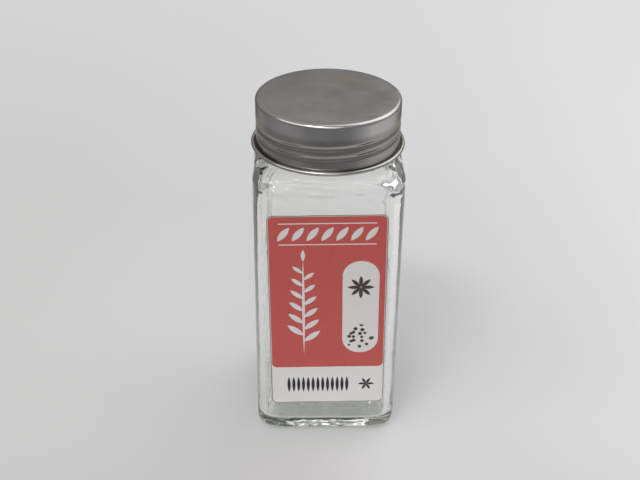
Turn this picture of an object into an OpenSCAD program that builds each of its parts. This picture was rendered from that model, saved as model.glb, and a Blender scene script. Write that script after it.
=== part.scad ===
// Square glass spice jar with a sifter insert, a lined screw cap of thin steel and a paper label.
// The origin is the centre of the base, +Z is up and the label faces -Y.

/* [Glass body] */
// Width across the flat sides
body_w = 45; // [44:0.5:56]
// Radius of the upright corners
corner_r = 6; // [4:0.5:9]
// Height where the flat sides end and the shoulder starts
body_h = 91; // [60:1:110]
// Height of the shoulder above the flat sides
shoulder_h = 4; // [3:0.5:8]
// Curve of the shoulder: 1 is an ellipse, less is fuller
shoulder_full = 0.8; // [0.7:0.05:1]
// Thickness of the side walls
wall = 2.4; // [1.8:0.1:3.5]
// Thickness of the glass under the spice
base_t = 5; // [3.5:0.5:8]
// Radius of the outer heel round the base
heel_r = 3.5; // [2:0.5:5]
// Radius of the inner heel round the floor
inner_heel_r = 5; // [3:0.5:8]
// Width of the flat ring that the jar stands on
foot_w = 3; // [2:0.5:5]
// Height of the hollow under the base
push_up = 1; // [0.6:0.1:1.5]

/* [Neck] */
// Diameter of the neck at the root of its thread
neck_d = 40.4; // [36:0.2:41]
// Height of the neck above the shoulder
neck_h = 13.3; // [12:0.1:18]
// Thickness of the neck wall
neck_wall = 2.5; // [2:0.1:3.5]
// Radius of the rounded lip
lip_r = 0.8; // [0.4:0.1:1.1]

/* [Thread] */
// Rise of the thread in one turn
pitch = 3; // [2.8:0.1:4]
// Height of the glass thread above the neck
thread_h = 0.9; // [0.6:0.1:1.2]
// Radial gap between the glass and the steel, at both roots of the thread
thread_gap = 0.4; // [0.3:0.05:0.6]
// Turns of thread on the glass
glass_turns = 1.5; // [1:0.25:2]
// Turns of thread rolled into the cap
cap_turns = 1.8; // [1:0.1:2]
// Height of the lowest rolled groove above the cap's curl, at the front
groove_rise = 4; // [3.5:0.1:5]

/* [Screw cap] */
// Thickness of the steel sheet
steel_t = 0.4; // [0.3:0.05:0.6]
// Height of the cap from the bottom of its curl
cap_h = 15.2; // [15:0.1:17]
// Outer radius of the rounded top edge
cap_edge_r = 1; // [0.8:0.1:1.8]
// Diameter of the rolled curl at the cap's open end
curl_d = 1.5; // [1.2:0.1:2]

/* [Liner] */
// Thickness of the sealing disc
liner_t = 1; // [1:0.1:2]
// Gap round the disc
liner_gap = 0.6; // [0.6:0.1:1]
// Gap between the disc and the steel above it
liner_play = 0.1; // [0.05:0.05:0.2]

/* [Sifter insert] */
// Thickness of the flange that lies on the lip
flange_t = 0.8; // [0.6:0.1:1.2]
// Depth of the plug in the neck
plug_depth = 6.5; // [5:0.5:9]
// Wall of the plug
plug_wall = 0.9; // [0.7:0.1:1.2]
// Gap between the plug and the neck
plug_gap = 0.15; // [0.1:0.05:0.3]
// Depth of the perforated floor below the flange
floor_depth = 2.5; // [1.5:0.5:4]
// Thickness of the perforated floor
floor_t = 1; // [0.8:0.1:1.5]
// Diameter of a sifter hole
hole_d = 6.4; // [4:0.2:7]
// Solid rim between the outer holes and the plug
hole_rim = 3; // [2:0.5:4]

/* [Label] */
// Width of the label
label_w = 36; // [20:1:38]
// Height of the label's lower edge above the base
label_rise = 12.5; // [8:0.5:20]
// Height left bare between the label and the shoulder
label_drop = 8.5; // [4:0.5:20]
// Radius of the label's corners
label_r = 1.8; // [1:0.1:4]
// Thickness of the label
label_t = 0.15; // [0.1:0.05:0.3]
// How far the label was stuck on out of true, in degrees
label_tilt = 0.8; // [0:0.1:2]

/* [Hidden] */

half_w = body_w / 2;
neck_r = neck_d / 2;
bore_r = neck_r - neck_wall;
inner_top = body_h - wall;
neck_z = body_h + shoulder_h;
lip_z = neck_z + neck_h;
seal_z = lip_z + flange_t;
cap_top = seal_z + liner_t + liner_play + steel_t;
curl_z = cap_top - cap_h + curl_d / 2;
label_h = body_h - label_rise - label_drop;

// Radii from the neck outwards
crest_r = neck_r + thread_h;
skirt_in_r = crest_r + thread_gap;
skirt_r = skirt_in_r + steel_t;
groove_depth = skirt_in_r - neck_r - thread_gap;

// The rolled groove passes the front of the cap at this height, and the glass thread lies half a
// pitch above it
front = 270;
groove_z = curl_z + groove_rise;
glass_thread_z = groove_z + pitch / 2;
cap_thread_start = 120;
glass_thread_start = 180;
// Width of the plain ridge left between two turns of the groove
groove_ridge = 0.15;
groove_half = (pitch - groove_ridge) / 2;
// Section of the glass thread, and how far it is sunk into the neck
thread_foot_half = 0.75;
thread_crest_half = 0.35;
thread_sink = 0.4;
// Degrees over which both threads run out, and the height the glass thread keeps at its ends
thread_fade = 25;
thread_end_share = 0.25;

// Points on each upright corner and on each flat side of a ring of the glass
corner_n = 9;
flat_n = 5;
ring_n = 4 * (corner_n + flat_n);
// Points round the cap, round the neck and round a sifter hole
cap_n = 72;
neck_n = 96;
hole_n = 48;
// How far a cutting solid passes the face that it cuts
over = 1;

// A closed skin through a list of rings that all have the same number of points. The rings turn
// counter-clockwise as seen from the last one.
module skin(rings) {
    n = len(rings[0]);
    last = (len(rings) - 1) * n;
    sides = [
        for (k = [0 : len(rings) - 2], i = [0 : n - 1])
            let (a = k * n + i, b = k * n + (i + 1) % n)
            each [[a, a + n, b + n], [a, b + n, b]]
    ];
    first_end = [for (i = [0 : n - 1]) i];
    last_end = [for (i = [0 : n - 1]) last + n - 1 - i];
    polyhedron(
        points = [for (ring = rings) each ring],
        faces = concat([first_end], sides, [last_end]),
        convexity = 8
    );
}

function quarter_turn(p, q) = q == 0 ? p : quarter_turn([-p[1], p[0]], q - 1);

// Plan outline of the glass: a square with half width hw and corner radius cr
function square_points(hw, cr) =
    let (d = hw - cr)
    [
        for (q = [0 : 3]) each [
            for (i = [0 : corner_n - 1])
                let (a = 90 * i / (corner_n - 1))
                quarter_turn([d + cr * cos(a), d + cr * sin(a)], q),
            for (j = [1 : flat_n]) quarter_turn([d - 2 * d * j / (flat_n + 1), hw], q)
        ]
    ];

// A circle whose points match those of the square outline one by one
function round_points(r) = [
    for (k = [0 : ring_n - 1])
        let (a = 45 + (k - (corner_n - 1) / 2) * 360 / ring_n)
        [r * cos(a), r * sin(a)]
];

function lift(points, z) = [for (p = points) [p[0], p[1], z]];

function mix(a, b, t) = a + (b - a) * t;

// A stretch of rings that turns from the square outline towards a circle of radius r, along a full
// quarter ellipse of height h that starts at height z
function shoulder(hw, cr, r, z, h, steps) =
    let (from = square_points(hw, cr), to = round_points(r))
    [
        for (s = [1 : steps])
            let (
                a = 90 * s / steps,
                share = pow(cos(a), shoulder_full),
                up = h * pow(sin(a), shoulder_full)
            )
            [for (k = [0 : ring_n - 1]) let (p = mix(to[k], from[k], share)) [p[0], p[1], z + up]]
    ];

// A rounded heel: rings that widen from hw - r to hw while they rise from z to z + r
function heel(hw, cr, r, z, steps) = [
    for (s = [0 : steps])
        let (a = 90 * s / steps)
        lift(square_points(hw - r * (1 - sin(a)), cr), z + r * (1 - cos(a)))
];

// Outer skin of the glass: up from the hollow under the base, over the foot and heel and up the sides.
// The last ring of the shoulder lies inside the bore, which cuts it away.
module glass_outside() {
    hollow_hw = half_w - heel_r - foot_w;
    slope_z = 0.8 * push_up;
    slope_w = push_up;
    ceiling_r = hollow_hw - 4 * push_up;
    skin(concat(
        [lift(round_points(ceiling_r), push_up)],
        [lift(square_points(hollow_hw - slope_w, corner_r), slope_z)],
        [lift(square_points(hollow_hw, corner_r), 0)],
        heel(half_w, corner_r, heel_r, 0, 5),
        [lift(square_points(half_w, corner_r), body_h)],
        shoulder(half_w, corner_r, bore_r - over / 2, body_h, shoulder_h, 8)
    ));
}

// Inner skin of the glass: the floor, the inner heel, the walls and the inside of the shoulder, which
// lies one wall below the outside
module glass_inside() {
    hw = half_w - wall;
    cr = corner_r - wall;
    floor_r = hw - 2 * inner_heel_r;
    skin(concat(
        [lift(round_points(floor_r), base_t)],
        heel(hw, cr, inner_heel_r, base_t, 5),
        [lift(square_points(hw, cr), inner_top)],
        shoulder(hw, cr, bore_r - 3 * over, inner_top, shoulder_h, 6)
    ));
}

// Neck of the jar as a revolved profile with a rounded lip, which starts inside the shoulder
module neck() {
    root_z = body_h + shoulder_h / 3;
    rotate_extrude($fn = neck_n) {
        translate([bore_r, root_z])
            square([neck_wall, lip_z - lip_r - root_z]);
        translate([bore_r, lip_z - 2 * lip_r])
            square([neck_wall - lip_r, 2 * lip_r]);
        translate([neck_r - lip_r, lip_z - lip_r])
            circle(r = lip_r, $fn = 32);
    }
}

// Helical ridge: sections in the plane of the axis, carried round a right-hand helix whose ends
// run out into the wall
module helix_ridge(root_r, height, z, start, turns) {
    sweep = 360 * turns;
    steps = round(48 * turns);
    skin([
        for (s = [0 : steps])
            let (
                along = sweep * s / steps,
                a = start + along,
                mid = z + pitch * (a - front) / 360,
                up = max(thread_end_share, min(1, along / thread_fade, (sweep - along) / thread_fade)),
                crest = root_r + height * up
            )
            [
                for (p = [
                    [root_r - thread_sink, thread_foot_half],
                    [crest, thread_crest_half],
                    [crest, -thread_crest_half],
                    [root_r - thread_sink, -thread_foot_half]
                ]) [p[0] * cos(a), p[0] * sin(a), mid + p[1]]
            ]
    ]);
}

module glass_jar() {
    bore_z = inner_top + shoulder_h / 2;
    color([0.82, 0.88, 0.85, 0.4])
        difference() {
            union() {
                glass_outside();
                neck();
                helix_ridge(neck_r, thread_h, glass_thread_z, glass_thread_start, glass_turns);
            }
            glass_inside();
            translate([0, 0, bore_z])
                cylinder(r = bore_r, h = lip_z - bore_z + over, $fn = neck_n);
        }
}

module rounded_rect(w, h, r) {
    square([w - 2 * r, h], center = true);
    square([w, h - 2 * r], center = true);
    for (x = [-1, 1], y = [-1, 1])
        translate([x * (w / 2 - r), y * (h / 2 - r)])
            circle(r = r, $fn = 48);
}

// Paper that follows the front of the glass and the start of its corners
module label() {
    color([0.72, 0.26, 0.25])
        intersection() {
            linear_extrude(height = body_h)
                difference() {
                    rounded_rect(body_w + 2 * label_t, body_w + 2 * label_t, corner_r + label_t);
                    rounded_rect(body_w, body_w, corner_r);
                }
            translate([0, 0, label_rise + label_h / 2])
                rotate([90, 0, 0])
                    rotate([0, 0, label_tilt])
                        linear_extrude(height = body_w)
                            rounded_rect(label_w, label_h, label_r);
        }
}

// Moulded plug with a flange on the lip and a perforated floor sunk below it
module sifter_insert() {
    plug_r = bore_r - plug_gap;
    floor_r = plug_r - plug_wall;
    flange_r = neck_r - lip_r / 2;
    hole_circle_r = floor_r - hole_rim - hole_d / 2;
    floor_z = lip_z - floor_depth - floor_t;
    color([0.93, 0.93, 0.91])
        difference() {
            rotate_extrude($fn = neck_n) {
                translate([floor_r, lip_z])
                    square([flange_r - floor_r, flange_t]);
                translate([floor_r, lip_z - plug_depth])
                    square([plug_wall, plug_depth + flange_t / 2]);
                translate([0, floor_z])
                    square([floor_r + plug_wall / 2, floor_t]);
            }
            translate([0, 0, floor_z - over]) {
                cylinder(d = hole_d, h = floor_t + 2 * over, $fn = hole_n);
                for (k = [0 : 5])
                    rotate([0, 0, 60 * k])
                        translate([hole_circle_r, 0, 0])
                            cylinder(d = hole_d, h = floor_t + 2 * over, $fn = hole_n);
            }
        }
}

// Sealing disc, bevelled above so that it clears the rounded corner inside the cap
module cap_liner() {
    disc_r = skirt_in_r - liner_gap;
    bevel = max(0.2, cap_edge_r - steel_t - liner_gap);
    color([0.95, 0.94, 0.9])
        translate([0, 0, seal_z])
            rotate_extrude($fn = neck_n)
                polygon([
                    [0, 0],
                    [disc_r, 0],
                    [disc_r, liner_t - bevel],
                    [disc_r - bevel, liner_t],
                    [0, liner_t]
                ]);
}

// How deep the sheet is pressed in by the rolled thread, at angle a round the cap and height z
function pressed(a, z) =
    let (sweep = 360 * cap_turns)
    max([
        for (k = [-1 : 3])
            let (
                along = a - cap_thread_start + 360 * k,
                off = abs(z - groove_z - pitch * (cap_thread_start + along - front) / 360) / groove_half,
                up = min(1, along / thread_fade, (sweep - along) / thread_fade)
            )
            along > 0 && along < sweep && off < 1 ? groove_depth * up * (1 + cos(180 * off)) / 2 : 0
    ]);

// One ring of the cap at radius r and height z, drawn in where the thread is rolled
function cap_ring(r, z) = [
    for (i = [0 : cap_n - 1])
        let (a = 360 * i / cap_n, rr = r - pressed(a, z))
        [rr * cos(a), rr * sin(a), z]
];

function plain_ring(r, z) = [for (i = [0 : cap_n - 1]) [r * cos(360 * i / cap_n), r * sin(360 * i / cap_n), z]];

// One skin of sheet steel: down the inside, round the curl and up the outside to the flat top
module screw_cap() {
    curl_r = curl_d / 2;
    curl_overlap = 0.05;
    curl_mid = skirt_r + curl_r - curl_overlap;
    thread_low = groove_z + pitch * (cap_thread_start - front) / 360 - groove_half;
    thread_high = thread_low + pitch * cap_turns + 2 * groove_half;
    rows = 16;
    heights = [for (k = [0 : rows]) mix(thread_low, thread_high, k / rows)];
    inner_edge_r = cap_edge_r - steel_t;
    color([0.62, 0.62, 0.61])
        skin(concat(
            [
                for (s = [0 : 3])
                    let (a = 90 - 30 * s)
                    plain_ring(
                        skirt_in_r - inner_edge_r + inner_edge_r * cos(a),
                        cap_top - cap_edge_r + inner_edge_r * sin(a)
                    )
            ],
            [for (k = [0 : rows]) cap_ring(skirt_in_r, heights[rows - k])],
            [
                for (a = [210 : 30 : 510])
                    plain_ring(curl_mid + curl_r * cos(a), curl_z + curl_r * sin(a))
            ],
            [for (k = [0 : rows]) cap_ring(skirt_r, heights[k])],
            [
                for (s = [0 : 4])
                    let (a = 22.5 * s)
                    plain_ring(
                        skirt_r - cap_edge_r + cap_edge_r * cos(a),
                        cap_top - cap_edge_r + cap_edge_r * sin(a)
                    )
            ]
        ));
}

glass_jar();
label();
sifter_insert();
cap_liner();
screw_cap();
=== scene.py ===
# %% [markdown]
# # A square spice jar in Blender
#
# The jar comes as a finished CAD model: a glass body, a paper label, a sifter insert, a cap liner and a
# screw cap of thin steel. We load it as a fixed frame and then dress it. Every piece that we build here
# sits exactly where its CAD node sits, in metres, with the origin in the middle of the base, +Z up and
# the label towards -Y.

# %% Load the frame
import bmesh
import bpy
import math
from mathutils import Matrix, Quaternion, Vector, noise


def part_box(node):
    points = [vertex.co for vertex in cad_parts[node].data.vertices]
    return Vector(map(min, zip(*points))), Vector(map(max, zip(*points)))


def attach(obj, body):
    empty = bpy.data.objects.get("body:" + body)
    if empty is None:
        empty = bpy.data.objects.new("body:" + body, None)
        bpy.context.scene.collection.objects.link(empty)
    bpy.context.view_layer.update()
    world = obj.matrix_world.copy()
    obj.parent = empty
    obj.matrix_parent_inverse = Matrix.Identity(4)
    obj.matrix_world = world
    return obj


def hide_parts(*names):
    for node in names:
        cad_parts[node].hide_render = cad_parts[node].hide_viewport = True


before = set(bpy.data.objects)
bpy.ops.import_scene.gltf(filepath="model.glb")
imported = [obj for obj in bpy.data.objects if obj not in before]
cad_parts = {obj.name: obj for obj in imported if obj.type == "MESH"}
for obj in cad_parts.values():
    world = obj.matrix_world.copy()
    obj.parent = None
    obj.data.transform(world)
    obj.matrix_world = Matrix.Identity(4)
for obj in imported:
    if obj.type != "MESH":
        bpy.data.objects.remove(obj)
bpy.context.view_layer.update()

MM = 0.001
scene = bpy.context.scene

# %% [markdown]
# ## The camera
#
# The viewpoint is found by matching the outlines of the cap, the glass and the label in the photograph:
# about a third of a metre away, looking down by 31 degrees, with a moderately long lens. We set the camera
# first, because it tells which details will be seen and how large.

# %% Camera
EYE = Vector((-9.51, -294.80, 237.46)) * MM
LOOKED_AT = Vector((-2.04, 0.05, 60.44)) * MM
LENS = 60.24
ROLL = math.radians(0.70)

camera = bpy.data.objects.new("photo camera", bpy.data.cameras.new("photo camera"))
scene.collection.objects.link(camera)
scene.camera = camera
camera.data.lens = LENS
camera.data.sensor_width = 36
camera.data.sensor_fit = "HORIZONTAL"
camera.data.clip_start = 0.01
camera.location = EYE
camera.rotation_mode = "QUATERNION"
camera.rotation_quaternion = (LOOKED_AT - EYE).to_track_quat("-Z", "Y") @ Quaternion((0, 0, 1), ROLL)
print("camera distance in mm:", round((LOOKED_AT - EYE).length / MM))

# %% [markdown]
# ## The room and the lamps
#
# Clear glass and bright steel have hardly any colour of their own: they show the room. So the room is
# designed like a photographer's table. A pale sheet lies underneath, the wall behind is pale, the side where
# the camera stands is dark, and one large soft lamp hangs overhead, a little to the right. The dark side gives
# the cap its deep grey and the glass its dark outlines, and the lamp draws the bright line round the cap's
# rounded edge.

# %% Room
ROOM_PALE_SIDE = (0.45, 0.70, 0.55)
ROOM_DARK = 0.24
ROOM_PALE = 0.43


def link(tree, a, b):
    tree.links.new(a, b)


def math_node(tree, operation, *inputs, clamp=False):
    """A Math node whose inputs are numbers or sockets. Returns its output socket."""
    node = tree.nodes.new("ShaderNodeMath")
    node.operation = operation
    node.use_clamp = clamp
    for slot, value in zip(node.inputs, inputs):
        if isinstance(value, (int, float)):
            slot.default_value = value
        else:
            tree.links.new(value, slot)
    return node.outputs[0]


world = bpy.data.worlds.new("studio room")
scene.world = world
world.use_nodes = True
room = world.node_tree
background = room.nodes["Background"]
direction = room.nodes.new("ShaderNodeTexCoord")
facing = room.nodes.new("ShaderNodeVectorMath")
facing.operation = "DOT_PRODUCT"
facing.inputs[1].default_value = Vector(ROOM_PALE_SIDE).normalized()
link(room, direction.outputs["Generated"], facing.inputs[0])
wall_tone = room.nodes.new("ShaderNodeMapRange")
wall_tone.interpolation_type = "SMOOTHSTEP"
wall_tone.inputs["From Min"].default_value = -0.30
wall_tone.inputs["From Max"].default_value = 0.95
wall_tone.inputs["To Min"].default_value = ROOM_DARK
wall_tone.inputs["To Max"].default_value = ROOM_PALE
link(room, facing.outputs["Value"], wall_tone.inputs["Value"])
link(room, wall_tone.outputs["Result"], background.inputs["Color"])
print("room tones:", ROOM_DARK, ROOM_PALE)

# %% Lamps


def soft_lamp(name, place, aim, width, height, brightness, colour=(1, 1, 1)):
    """A rectangular softbox whose face looks as bright as the number says, where 1 is white paper."""
    lamp = bpy.data.lights.new(name, "AREA")
    lamp.shape = "RECTANGLE"
    lamp.size = width
    lamp.size_y = height
    lamp.energy = math.pi * width * height * brightness
    lamp.color = colour
    holder = bpy.data.objects.new(name, lamp)
    scene.collection.objects.link(holder)
    holder.location = place
    holder.rotation_mode = "QUATERNION"
    holder.rotation_quaternion = (Vector(aim) - Vector(place)).to_track_quat("-Z", "Y")
    print(name, "watts:", round(lamp.energy, 2))
    return holder


soft_lamp("softbox behind on the right", (0.67, 0.53, 0.95), (0, 0, 0.05), 1.60, 1.18, 1.03)
soft_lamp("softbox above the camera", (-0.48, -0.66, 0.93), (0, 0, 0.05), 2.10, 0.80, 1.10)
soft_lamp("bare window", (-0.30, -0.56, 1.10), (0, 0, 0.08), 0.40, 0.13, 14.0)

# %% [markdown]
# ## Shared finish groups
#
# No real surface is perfectly even. Two small effects are used by several materials, so each is a node
# group: a slow drift that lets a value wander between two limits, and fine marks from handling. The groups
# put out plain values only. The shaders stay in the materials.

# %% Slow drift


def group_with(name, inputs, outputs):
    """A shader node group with named number inputs and outputs. Returns the tree and its two end nodes."""
    tree = bpy.data.node_groups.new(name, "ShaderNodeTree")
    for label, kind, default in inputs:
        item = tree.interface.new_socket(label, in_out="INPUT", socket_type=kind)
        if default is not None:
            item.default_value = default
    for label, kind in outputs:
        tree.interface.new_socket(label, in_out="OUTPUT", socket_type=kind)
    return tree, tree.nodes.new("NodeGroupInput"), tree.nodes.new("NodeGroupOutput")


NUMBER = "NodeSocketFloat"
VECTOR = "NodeSocketVector"

drift_group, given, result = group_with(
    "slow drift",
    [("Place", VECTOR, None), ("Patches per Metre", NUMBER, 60.0), ("Lowest", NUMBER, 0.0), ("Highest", NUMBER, 1.0)],
    [("Value", NUMBER)],
)
patches = drift_group.nodes.new("ShaderNodeTexNoise")
patches.inputs["Detail"].default_value = 3
link(drift_group, given.outputs["Place"], patches.inputs["Vector"])
link(drift_group, given.outputs["Patches per Metre"], patches.inputs["Scale"])
spread = drift_group.nodes.new("ShaderNodeMapRange")
spread.inputs["From Min"].default_value = 0.3
spread.inputs["From Max"].default_value = 0.7
link(drift_group, patches.outputs["Fac"], spread.inputs["Value"])
link(drift_group, given.outputs["Lowest"], spread.inputs["To Min"])
link(drift_group, given.outputs["Highest"], spread.inputs["To Max"])
link(drift_group, spread.outputs["Result"], result.inputs["Value"])
print("group ready:", drift_group.name)

# %% Fine marks
marks_group, given, result = group_with(
    "fine marks",
    [("Place", VECTOR, None), ("Marks per Metre", NUMBER, 400.0), ("Thinness", NUMBER, 0.02), ("Stretch", VECTOR, None)],
    [("Mask", NUMBER)],
)
stretched = marks_group.nodes.new("ShaderNodeVectorMath")
stretched.operation = "MULTIPLY"
link(marks_group, given.outputs["Place"], stretched.inputs[0])
link(marks_group, given.outputs["Stretch"], stretched.inputs[1])
wander = marks_group.nodes.new("ShaderNodeTexNoise")
wander.inputs["Detail"].default_value = 1
link(marks_group, stretched.outputs[0], wander.inputs["Vector"])
link(marks_group, given.outputs["Marks per Metre"], wander.inputs["Scale"])
line = math_node(marks_group, "ABSOLUTE", math_node(marks_group, "SUBTRACT", wander.outputs["Fac"], 0.5))
thin = math_node(marks_group, "DIVIDE", line, given.outputs["Thinness"])
mask = math_node(marks_group, "SUBTRACT", 1.0, thin, clamp=True)
link(marks_group, mask, result.inputs["Mask"])
print("group ready:", marks_group.name)

# %% Helpers for materials


def new_material(name):
    material = bpy.data.materials.new(name)
    material.use_nodes = True
    return material, material.node_tree, material.node_tree.nodes["Principled BSDF"]


def place_group(tree, group, **values):
    """Places a group in a material. Names are written with _ for a space; values are numbers or sockets."""
    node = tree.nodes.new("ShaderNodeGroup")
    node.node_tree = group
    for key, value in values.items():
        slot = node.inputs[key.replace("_", " ")]
        if isinstance(value, bpy.types.NodeSocket):
            tree.links.new(value, slot)
        else:
            slot.default_value = value
    return node.outputs[0]


def split(tree, vector):
    node = tree.nodes.new("ShaderNodeSeparateXYZ")
    link(tree, vector, node.inputs[0])
    return node.outputs


def object_place(tree):
    return tree.nodes.new("ShaderNodeTexCoord").outputs["Object"]


def raise_by(tree, shader, height, distance, strength=1.0, over=None):
    """Adds a Bump node for a height mask, on top of an earlier one, and returns its normal."""
    bump = tree.nodes.new("ShaderNodeBump")
    bump.inputs["Distance"].default_value = distance
    bump.inputs["Strength"].default_value = strength
    tree.links.new(height, bump.inputs["Height"])
    if over is not None:
        tree.links.new(over, bump.inputs["Normal"])
    tree.links.new(bump.outputs["Normal"], shader.inputs["Normal"])
    return bump.outputs["Normal"]


# %% [markdown]
# ## The glass
#
# The body is blown into an iron mould: a square bottle with soft upright corners, a thick base that stands
# on a narrow ring, and a round neck. Glass only looks right when it has an outside and an inside, because light
# bends at both. So one closed skin runs from the middle of the floor up the inner wall, over the lip, down the
# outer wall and under the base. Each ring of points is a mix of a rounded square and a circle, so that the
# shoulder turns from square to round without a seam.

# %% Plan outlines
CORNER_POINTS = 25
FLAT_POINTS = 23
RING_POINTS = 4 * (CORNER_POINTS + FLAT_POINTS)


def square_ring(half, corner):
    """Plan points of a square with rounded corners, counter-clockwise from the right-hand side."""
    points = []
    inner = half - corner
    for quarter in range(4):
        turn = quarter * math.pi / 2
        c, s = math.cos(turn), math.sin(turn)
        for i in range(CORNER_POINTS):
            a = math.pi / 2 * i / (CORNER_POINTS - 1)
            x, y = inner + corner * math.cos(a), inner + corner * math.sin(a)
            points.append((x * c - y * s, x * s + y * c))
        for j in range(1, FLAT_POINTS + 1):
            x, y = inner - 2 * inner * j / (FLAT_POINTS + 1), half
            points.append((x * c - y * s, x * s + y * c))
    return points


def round_ring(radius):
    """A circle whose points match those of the square one by one."""
    first = math.pi / 4 - (CORNER_POINTS - 1) * math.pi / RING_POINTS
    return [
        (radius * math.cos(first + k * 2 * math.pi / RING_POINTS), radius * math.sin(first + k * 2 * math.pi / RING_POINTS))
        for k in range(RING_POINTS)
    ]


def mixed_ring(circle, square, share):
    return [(a + (c - a) * share, b + (d - b) * share) for (a, b), (c, d) in zip(circle, square)]


def no_nearer(ring, radius, blend):
    """Keeps a ring at or outside a radius, with a soft fillet where the two meet."""
    kept = []
    for x, y in ring:
        r = math.hypot(x, y)
        soft = max(0.0, blend - abs(r - radius))
        wanted = max(r, radius) + soft * soft / (4 * blend)
        kept.append((x * wanted / r, y * wanted / r))
    return kept


print("points in a ring:", RING_POINTS)

# %% Sizes of the glass, in millimetres
glass_low, glass_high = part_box("glass_jar")
HALF = glass_high.x / MM
LIP = glass_high.z / MM
CORNER = 6.0
FLAT_TOP = 91.0
SHOULDER = 4.0
FULL = 0.8
WALL = 2.4
INNER_CORNER_TOP = 4.0
INNER_CORNER_LOW = 4.7
FLOOR = 3.6
HEEL = 3.5
INNER_HEEL = 2.2
FOOT = 3.0
HOLLOW = 1.0
NECK = 20.2
BORE = 17.7
LIP_ROUND = 0.8
FILLET = 0.7
PITCH = 3.0
THREAD_RISE = 0.9
THREAD_HALF = 0.75
THREAD_TURNS = 1.5
THREAD_START = (180.0, 100.9)
print("glass half width and lip height in mm:", round(HALF, 2), round(LIP, 2))

# %% Rings of the glass, from the inside of the floor round to the underside


def steps(start, end, count):
    """Numbers from start to end, both included."""
    return [start + (end - start) * k / (count - 1) for k in range(count)]


def heel_rings(half, corner, radius, bottom, count):
    rings = []
    for a in steps(0, math.pi / 2, count):
        rings.append((square_ring(half - radius * (1 - math.sin(a)), corner), bottom + radius * (1 - math.cos(a))))
    return rings


inner_half = HALF - WALL
inner_corner = INNER_CORNER_TOP
inner_top = FLAT_TOP - WALL
floor_start = square_ring(inner_half - INNER_HEEL, INNER_CORNER_LOW)
inside = [(mixed_ring(round_ring(14 * share + 1), floor_start, share ** 2), FLOOR) for share in steps(0.04, 0.96, 16)]
inside += heel_rings(inner_half, INNER_CORNER_LOW, INNER_HEEL, FLOOR, 12)
for z in steps(FLOOR + INNER_HEEL, inner_top, 34)[1:]:
    share = (z - FLOOR) / (inner_top - FLOOR)
    inside.append((square_ring(inner_half, INNER_CORNER_LOW + (INNER_CORNER_TOP - INNER_CORNER_LOW) * share), z))
for a in steps(0, math.pi / 2, 20)[1:]:
    ring = mixed_ring(round_ring(BORE - 3), square_ring(inner_half, inner_corner), max(0.0, math.cos(a)) ** FULL)
    inside.append((no_nearer(ring, BORE, FILLET), inner_top + SHOULDER * math.sin(a) ** FULL))
inside += [(round_ring(BORE), z) for z in steps(inside[-1][1] + 0.8, LIP - 0.5, 14)]

LIP_DIP = 0.02
lip = []
for a in steps(math.pi, math.pi / 2, 5):
    lip.append((round_ring(BORE + 0.4 + 0.4 * math.cos(a)), LIP - LIP_DIP - 0.4 + 0.4 * math.sin(a)))
for a in steps(math.pi / 2, 0, 8):
    radius = NECK - LIP_ROUND + LIP_ROUND * math.cos(a)
    lip.append((round_ring(radius), LIP - LIP_DIP - LIP_ROUND + LIP_ROUND * math.sin(a)))

outside = [(round_ring(NECK), z) for z in steps(LIP - 1.1, FLAT_TOP + SHOULDER + 0.3, 50)]
for a in steps(math.pi / 2, 0, 24)[:-1]:
    ring = mixed_ring(round_ring(BORE - 0.5), square_ring(HALF, CORNER), max(0.0, math.cos(a)) ** FULL)
    outside.append((no_nearer(ring, NECK, FILLET), FLAT_TOP + SHOULDER * math.sin(a) ** FULL))
outside += [(square_ring(HALF, CORNER), z) for z in steps(FLAT_TOP, HEEL, 34)]
outside += list(reversed(heel_rings(HALF, CORNER, HEEL, 0, 12)[:-1]))
hollow_half = HALF - HEEL - FOOT
outside += [(square_ring(HALF - HEEL - inward, CORNER), 0.0) for inward in steps(0.0, FOOT, 8)[1:-1]]
for inward, rise in ((0, 0), (0.35, 0.35), (0.9, 0.72), (1.8, 0.92), (3.4, 1.0)):
    outside.append((square_ring(hollow_half - inward, CORNER), HOLLOW * rise))
outside += [(round_ring(r), HOLLOW) for r in (8, 4, 1.5)]
print("rings of glass:", len(inside) + len(lip) + len(outside))

# %% [markdown]
# ### Making the glass alive
#
# Mould-made glass is never quite even. The outside copies the smooth mould, but the inside was only pressed
# there by air, so the wall is a tenth of a millimetre thicker here and thinner there, and the heavy heel
# is lumpier still. Those small errors make the lines seen through the jar swim and the base sparkle, so we
# move the inner rings by smooth noise.

# %% Uneven wall
WALL_ERROR = 0.13
HEEL_ERROR = 0.26
SHOULDER_ERROR = 0.28
FLOOR_DOME = 0.6
KNURL = 0.22


def smooth_step(low, high, value):
    t = min(1.0, max(0.0, (value - low) / (high - low)))
    return t * t * (3 - 2 * t)


def moved_in(x, y, inward):
    r = max(math.hypot(x, y), 1e-6)
    return x - x / r * inward, y - y / r * inward


def blown_face(x, y, z):
    """A point of the inner face, in mm, moved to where the blown glass came to rest."""
    wall = smooth_step(9, 20, z) * (1 - smooth_step(91, 94, z))
    heel = smooth_step(FLOOR + 0.05, FLOOR + 1.2, z) * (1 - smooth_step(12, 22, z))
    slow = noise.noise(Vector((x / 9, y / 9, z / 16)))
    lumpy = noise.noise(Vector((x / 3.2 + 7, y / 3.2, z / 2.6)))
    shoulder = smooth_step(82, 88, z) * (1 - smooth_step(92.5, 94, z)) * (0.5 + 0.5 * smooth_step(6, 15, max(abs(x), abs(y))))
    ripples = noise.noise(Vector((x / 2.2, y / 2.2 + 5, z / 1.3)))
    floor = 1 - smooth_step(FLOOR, FLOOR + 0.6, z)
    dome = FLOOR_DOME * (1 - smooth_step(7, 13.5, math.hypot(x, y))) + 0.08 * lumpy
    inward = WALL_ERROR * wall * slow + HEEL_ERROR * heel * lumpy + SHOULDER_ERROR * shoulder * ripples
    return *moved_in(x, y, inward), z + floor * dome


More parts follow.
